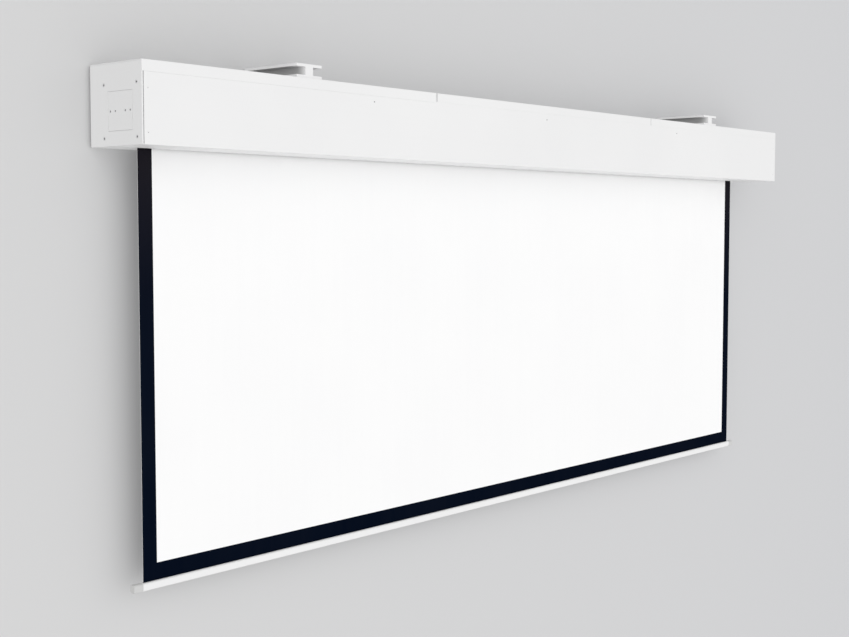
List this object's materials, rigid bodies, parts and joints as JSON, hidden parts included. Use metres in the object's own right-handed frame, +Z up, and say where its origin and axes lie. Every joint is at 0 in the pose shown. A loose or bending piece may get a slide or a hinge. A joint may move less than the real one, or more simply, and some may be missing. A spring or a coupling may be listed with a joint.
{
  "type": "motorized projector screen",
  "caption": "Wall-hung projector screen: long square case with motor and roller, white sheet with black borders hanging from it, capped bottom bar, and arms that run back to the wall.",
  "frame": {"origin": "middle of the rear beam's back face, where it lies against the wall", "axes": "+X along the case towards the motor's end, +Y into the wall, +Z up"},
  "size_m": [3.8768, 0.2508, 1.6028],
  "materials": {
    "white_extrusion": "white powder coat",
    "white_paint": "white powder coat on folded sheet",
    "end_paint": "satin white paint on steel",
    "raw_aluminium": "mill finish",
    "zinc_steel": "zinc plated",
    "motor_enamel": "dark grey enamel",
    "black_plastic": "moulded",
    "grey_plastic": "moulded, light grey",
    "limit_white": "moulded",
    "limit_yellow": "moulded",
    "lead_rubber": "matt sheath",
    "white_fabric": "matt white projection surface",
    "black_fabric": "matt black border"
  },
  "bodies": {
    "case": {"rear_beam": "white_extrusion", "front_rail": "raw_aluminium", "top_cover": "white_paint", "front_cover": "white_paint", "bottom_cover": "white_extrusion", "edge_cover_left": "white_paint", "edge_cover_middle": "white_paint", "edge_cover_right": "white_paint", "rib_left": "zinc_steel", "rib_middle": "zinc_steel", "rib_right": "zinc_steel", "cover_screw_left": "white_paint", "cover_screw_middle": "white_paint", "cover_screw_right": "white_paint", "end_plate_left": "end_paint", "end_plate_right": "end_paint", "support_bracket_left": "zinc_steel", "support_bracket_right": "zinc_steel", "end_screw_left_upper_front": "zinc_steel", "end_screw_left_upper_rear": "zinc_steel", "end_screw_left_lower_front": "zinc_steel", "end_screw_left_lower_rear": "zinc_steel", "end_screw_right_upper_front": "zinc_steel", "end_screw_right_upper_rear": "zinc_steel", "end_screw_right_lower_front": "zinc_steel", "end_screw_right_lower_rear": "zinc_steel", "bearing_plate": "end_paint", "motor_plate": "end_paint", "idler_bearing": "zinc_steel", "motor_tube": "motor_enamel", "motor_head": "motor_enamel", "junction_box": "grey_plastic", "junction_box_lid": "grey_plastic", "motor_lead": "lead_rubber", "cable_gland": "grey_plastic", "gland_nut": "grey_plastic", "projection_surface": "white_fabric", "side_border_left": "black_fabric", "side_border_right": "black_fabric", "arm_left": "white_extrusion", "arm_right": "white_extrusion", "wall_plate_left": "end_paint", "wall_plate_right": "end_paint", "arm_bolt_left_front": "zinc_steel", "arm_bolt_left_rear": "zinc_steel", "arm_bolt_right_front": "zinc_steel", "arm_bolt_right_rear": "zinc_steel"},
    "roller": {"roller_tube": "raw_aluminium", "wound_fabric": "black_fabric", "idler_plug": "black_plastic", "idler_shaft": "zinc_steel", "crown_ring": "black_plastic", "drive_wheel": "black_plastic"},
    "bar": {"bottom_border": "black_fabric", "hem_rod": "grey_plastic", "bottom_bar": "white_extrusion", "bar_cap_left": "grey_plastic", "bar_cap_right": "grey_plastic"},
    "limit_up": {"limit_screw_up": "limit_white"},
    "limit_down": {"limit_screw_down": "limit_yellow"}
  },
  "joints": [
    {"name": "roller_spin", "type": "hinge", "parent": "case", "child": "roller", "pos_m": [0, -0.1495, -0.01995], "axis": [1, 0, 0], "range_deg": [0, 1193]},
    {"name": "screen_lift", "type": "slide", "parent": "case", "child": "bar", "axis": [0, 0, 1], "range_m": [0, 1.2837], "deforming": ["projection_surface", "side_border_left", "side_border_right"]},
    {"name": "limit_up_adjust", "type": "hinge", "parent": "case", "child": "limit_up", "pos_m": [1.8052, -0.12937, -0.05218], "axis": [0, 0.5298, -0.8481], "continuous": true},
    {"name": "limit_down_adjust", "type": "hinge", "parent": "case", "child": "limit_down", "pos_m": [1.8252, -0.12937, -0.05218], "axis": [0, 0.5298, -0.8481], "continuous": true}
  ],
  "couplings": [
    {"joint": "screen_lift", "follows": "roller_spin", "m_per_rad": 0.06165}
  ]
}
